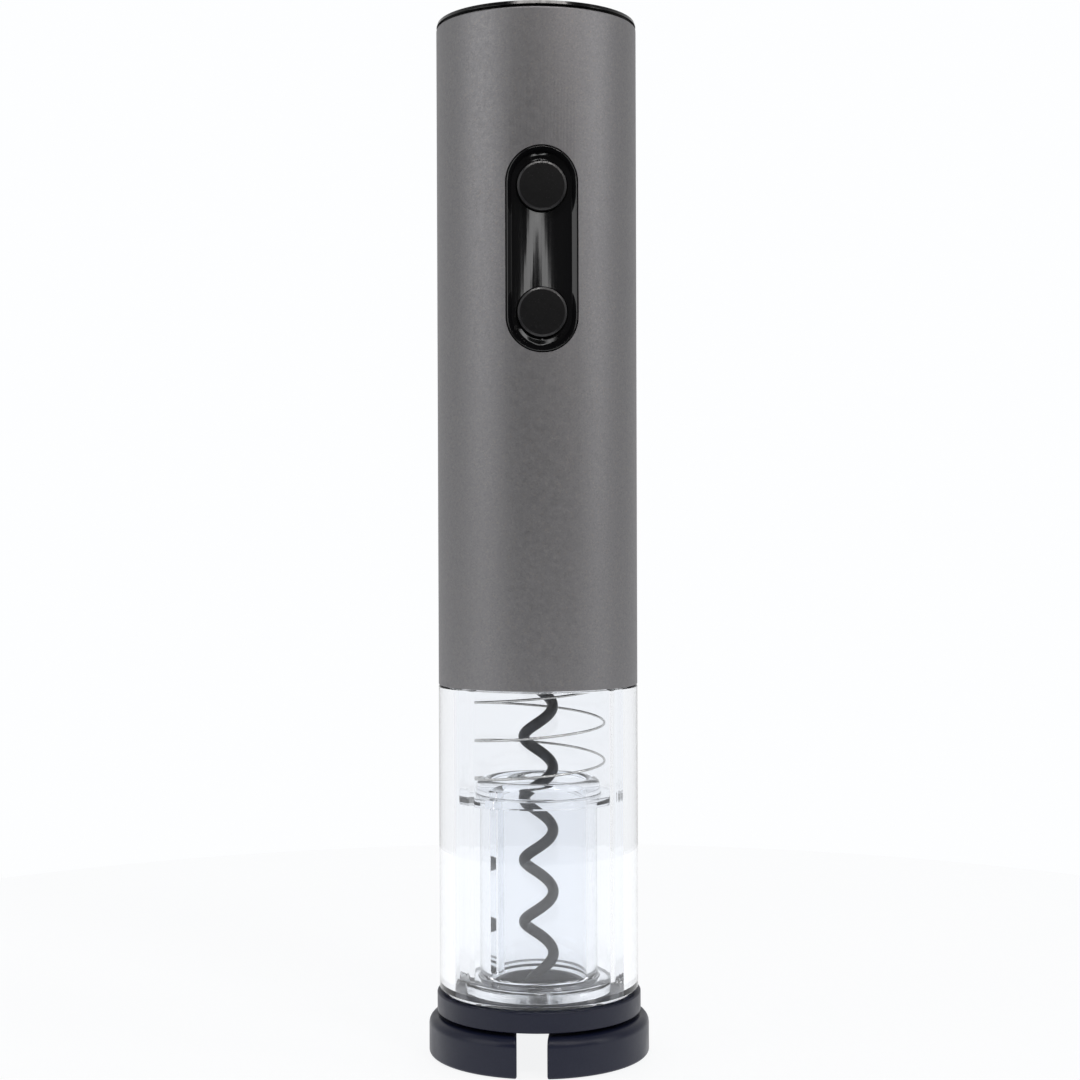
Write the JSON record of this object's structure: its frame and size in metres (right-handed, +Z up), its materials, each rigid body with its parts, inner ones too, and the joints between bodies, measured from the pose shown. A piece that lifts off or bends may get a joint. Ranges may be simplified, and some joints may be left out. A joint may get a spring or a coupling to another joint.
{
  "type": "electric wine opener",
  "caption": "Upright battery wine opener with a geared motor and worm, clear barrel, spring-loaded cork guide, two push buttons, lift-off battery cap, lifting off its foil cutter base.",
  "frame": {"origin": "on the floor, under the middle of the foil cutter that the opener stands on", "axes": "+Z up along the worm, -Y to the front where the buttons are, +X to the right seen from the front"},
  "size_m": [0.0532, 0.0532, 0.2475],
  "materials": {
    "sleeve_metal": "satin metallic paint",
    "black_gloss": "high gloss",
    "black_matte": "matte",
    "clear_plastic": "clear",
    "cutter_plastic": "satin",
    "worm_coating": "dark non-stick coating",
    "steel": "bright",
    "brass": "turned",
    "contact_nickel": "nickel plated",
    "frame_plastic": "moulded",
    "gear_plastic": "moulded acetal",
    "motor_steel": "zinc plated",
    "laminations": "stacked laminations",
    "ferrite": "sintered",
    "circuit_board": "solder mask",
    "cell_wrap": "printed wrap",
    "red_insulation": "satin",
    "black_insulation": "satin"
  },
  "bodies": {
    "housing": {"housing_sleeve": "sleeve_metal", "switch_bezel": "black_gloss", "clear_barrel": "clear_plastic", "chassis_front": "frame_plastic", "chassis_rear": "frame_plastic", "spring_seat": "frame_plastic", "gearbox_housing": "frame_plastic", "output_bush": "brass", "motor_mount": "steel", "motor_can": "motor_steel", "magnet_front": "ferrite", "magnet_rear": "ferrite", "motor_end_cap": "black_matte", "switch_board": "circuit_board", "tact_switch_up": "black_matte", "tact_switch_down": "black_matte", "battery_tray": "frame_plastic", "battery_cell_1": "cell_wrap", "battery_cell_2": "cell_wrap", "battery_cell_3": "cell_wrap", "battery_cell_4": "cell_wrap", "lower_positive_contact": "contact_nickel", "lower_negative_contact": "contact_nickel", "lower_bridge_contact": "contact_nickel", "red_lead": "red_insulation", "black_lead": "black_insulation", "motor_screw_left": "steel", "motor_screw_right": "steel", "chassis_screw_front": "steel", "chassis_screw_rear": "steel", "guide_spring": "steel"},
    "worm": {"worm_screw": "worm_coating", "worm_hub": "steel", "output_carrier": "steel"},
    "first_carrier": {"first_carrier": "steel"},
    "motor_rotor": {"motor_shaft": "steel", "motor_pinion": "brass", "motor_armature": "laminations"},
    "guide": {"guide_sleeve": "clear_plastic"},
    "up_button": {"up_button": "black_matte"},
    "down_button": {"down_button": "black_matte"},
    "battery_cap": {"battery_cap": "black_gloss", "cap_contact_carrier": "frame_plastic", "upper_bridge_contact_1": "contact_nickel", "upper_bridge_contact_2": "contact_nickel"},
    "foil_cutter": {"cutter_collar": "cutter_plastic", "pivot_pin": "steel", "jaw_spring": "steel"},
    "jaw_left": {"jaw_left": "cutter_plastic"},
    "jaw_right": {"jaw_right": "cutter_plastic"},
    "second_planet_1": {"second_planet_1": "gear_plastic"},
    "first_planet_1": {"first_planet_1": "gear_plastic"},
    "second_planet_2": {"second_planet_2": "gear_plastic"},
    "first_planet_2": {"first_planet_2": "gear_plastic"},
    "second_planet_3": {"second_planet_3": "gear_plastic"},
    "first_planet_3": {"first_planet_3": "gear_plastic"},
    "cutting_wheel_1": {"cutting_wheel_1": "steel"},
    "cutting_wheel_2": {"cutting_wheel_2": "steel"},
    "cutting_wheel_3": {"cutting_wheel_3": "steel"},
    "cutting_wheel_4": {"cutting_wheel_4": "steel"}
  },
  "joints": [
    {"name": "opener_lift", "type": "slide", "parent": "foil_cutter", "child": "housing", "axis": [0, 0, 1], "range_m": [0, 0.03]},
    {"name": "worm_spin", "type": "hinge", "parent": "housing", "child": "worm", "pos_m": [0, 0, 0.1], "axis": [0, 0, 1], "continuous": true},
    {"name": "first_carrier_spin", "type": "hinge", "parent": "housing", "child": "first_carrier", "pos_m": [0, 0, 0.1158], "axis": [0, 0, 1], "continuous": true},
    {"name": "motor_spin", "type": "hinge", "parent": "housing", "child": "motor_rotor", "pos_m": [0, 0, 0.14], "axis": [0, 0, 1], "continuous": true},
    {"name": "second_planet_1_spin", "type": "hinge", "parent": "worm", "child": "second_planet_1", "pos_m": [0, 0.00825, 0.1115], "axis": [0, 0, 1], "continuous": true},
    {"name": "second_planet_2_spin", "type": "hinge", "parent": "worm", "child": "second_planet_2", "pos_m": [-0.00715, -0.00413, 0.1115], "axis": [0, 0, 1], "continuous": true},
    {"name": "second_planet_3_spin", "type": "hinge", "parent": "worm", "child": "second_planet_3", "pos_m": [0.00715, -0.00413, 0.1115], "axis": [0, 0, 1], "continuous": true},
    {"name": "first_planet_1_spin", "type": "hinge", "parent": "first_carrier", "child": "first_planet_1", "pos_m": [0, 0.00825, 0.1193], "axis": [0, 0, 1], "continuous": true},
    {"name": "first_planet_2_spin", "type": "hinge", "parent": "first_carrier", "child": "first_planet_2", "pos_m": [-0.00715, -0.00413, 0.1193], "axis": [0, 0, 1], "continuous": true},
    {"name": "first_planet_3_spin", "type": "hinge", "parent": "first_carrier", "child": "first_planet_3", "pos_m": [0.00715, -0.00413, 0.1193], "axis": [0, 0, 1], "continuous": true},
    {"name": "guide_slide", "type": "slide", "parent": "housing", "child": "guide", "axis": [0, 0, 1], "range_m": [0, 0.024], "stiffness_N_per_m": 120, "springref_m": -0.012, "deforming": ["guide_spring"]},
    {"name": "up_button_press", "type": "slide", "parent": "housing", "child": "up_button", "axis": [0, 1, 0], "range_m": [0, 0.0008], "stiffness_N_per_m": 900, "springref_m": -0.0006},
    {"name": "down_button_press", "type": "slide", "parent": "housing", "child": "down_button", "axis": [0, 1, 0], "range_m": [0, 0.0008], "stiffness_N_per_m": 900, "springref_m": -0.0006},
    {"name": "battery_cap_lift", "type": "slide", "parent": "housing", "child": "battery_cap", "axis": [0, 0, 1], "range_m": [0, 0.025]},
    {"name": "jaw_left_pivot", "type": "hinge", "parent": "foil_cutter", "child": "jaw_left", "pos_m": [0.00263, 0.02204, 0.005], "axis": [0, 0, 1], "range_deg": [0, 3], "stiffness_Nm_per_rad": 0.08, "springref_deg": -8.59},
    {"name": "jaw_right_pivot", "type": "hinge", "parent": "foil_cutter", "child": "jaw_right", "pos_m": [0.00263, 0.02204, 0.005], "axis": [0, 0, 1], "range_deg": [-3, 0]},
    {"name": "cutting_wheel_1_spin", "type": "hinge", "parent": "jaw_left", "child": "cutting_wheel_1", "pos_m": [-0.01556, -0.01224, 0.0044], "axis": [0, 0, 1], "continuous": true},
    {"name": "cutting_wheel_2_spin", "type": "hinge", "parent": "jaw_left", "child": "cutting_wheel_2", "pos_m": [-0.01224, 0.01556, 0.0044], "axis": [0, 0, 1], "continuous": true},
    {"name": "cutting_wheel_3_spin", "type": "hinge", "parent": "jaw_right", "child": "cutting_wheel_3", "pos_m": [0.01556, 0.01224, 0.0044], "axis": [0, 0, 1], "continuous": true},
    {"name": "cutting_wheel_4_spin", "type": "hinge", "parent": "jaw_right", "child": "cutting_wheel_4", "pos_m": [0.01224, -0.01556, 0.0044], "axis": [0, 0, 1], "continuous": true}
  ],
  "couplings": [
    {"joint": "first_carrier_spin", "follows": "worm_spin", "ratio": 7.3333},
    {"joint": "motor_spin", "follows": "worm_spin", "ratio": 53.778},
    {"joint": "second_planet_1_spin", "follows": "worm_spin", "ratio": -2.375},
    {"joint": "second_planet_2_spin", "follows": "worm_spin", "ratio": -2.375},
    {"joint": "second_planet_3_spin", "follows": "worm_spin", "ratio": -2.375},
    {"joint": "first_planet_1_spin", "follows": "worm_spin", "ratio": -17.417},
    {"joint": "first_planet_2_spin", "follows": "worm_spin", "ratio": -17.417},
    {"joint": "first_planet_3_spin", "follows": "worm_spin", "ratio": -17.417},
    {"joint": "jaw_right_pivot", "follows": "jaw_left_pivot", "ratio": -1}
  ]
}
